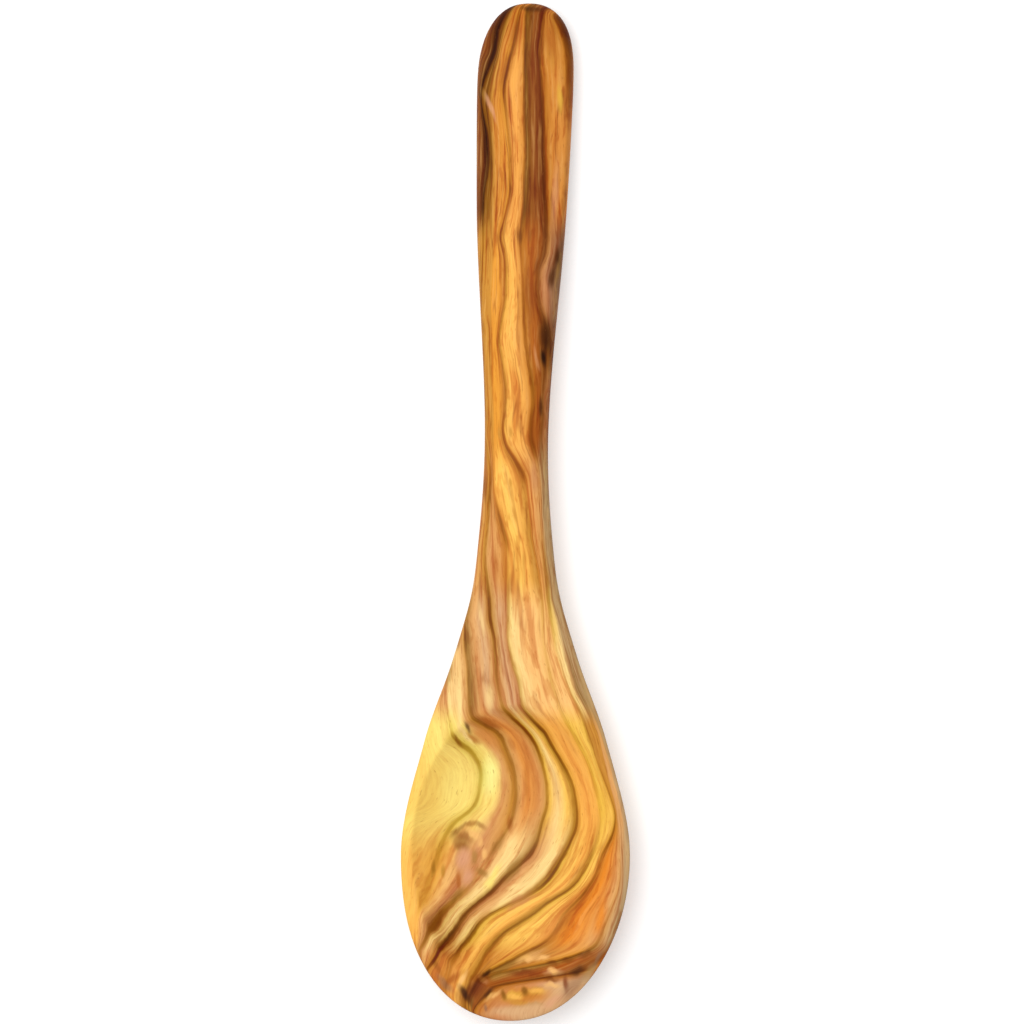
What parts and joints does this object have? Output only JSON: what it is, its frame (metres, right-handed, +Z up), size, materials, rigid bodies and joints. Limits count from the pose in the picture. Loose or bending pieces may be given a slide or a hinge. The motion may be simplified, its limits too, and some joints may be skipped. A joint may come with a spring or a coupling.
{
  "type": "wooden spatula",
  "caption": "Carved olive wood cooking spatula: an oval head hollowed like a spoon, a slim neck and a handle that widens to a rounded grip.",
  "frame": {"origin": "on the table under the middle of the tool's box, half way between the tip of the head and the end of the handle", "axes": "+Z up out of the hollow, with the tool lying on a table; +Y from the head to the handle's end; +X to the right with the handle pointing away"},
  "size_m": [0.0678, 0.3, 0.0181],
  "materials": {
    "olive_wood": "Oiled and fine-sanded olive wood: honey and cream bands with dark brown heartwood veins that run along the handle and swirl through the hollow."
  },
  "bodies": {
    "root": {"carved_spatula": "olive_wood"}
  },
  "joints": []
}
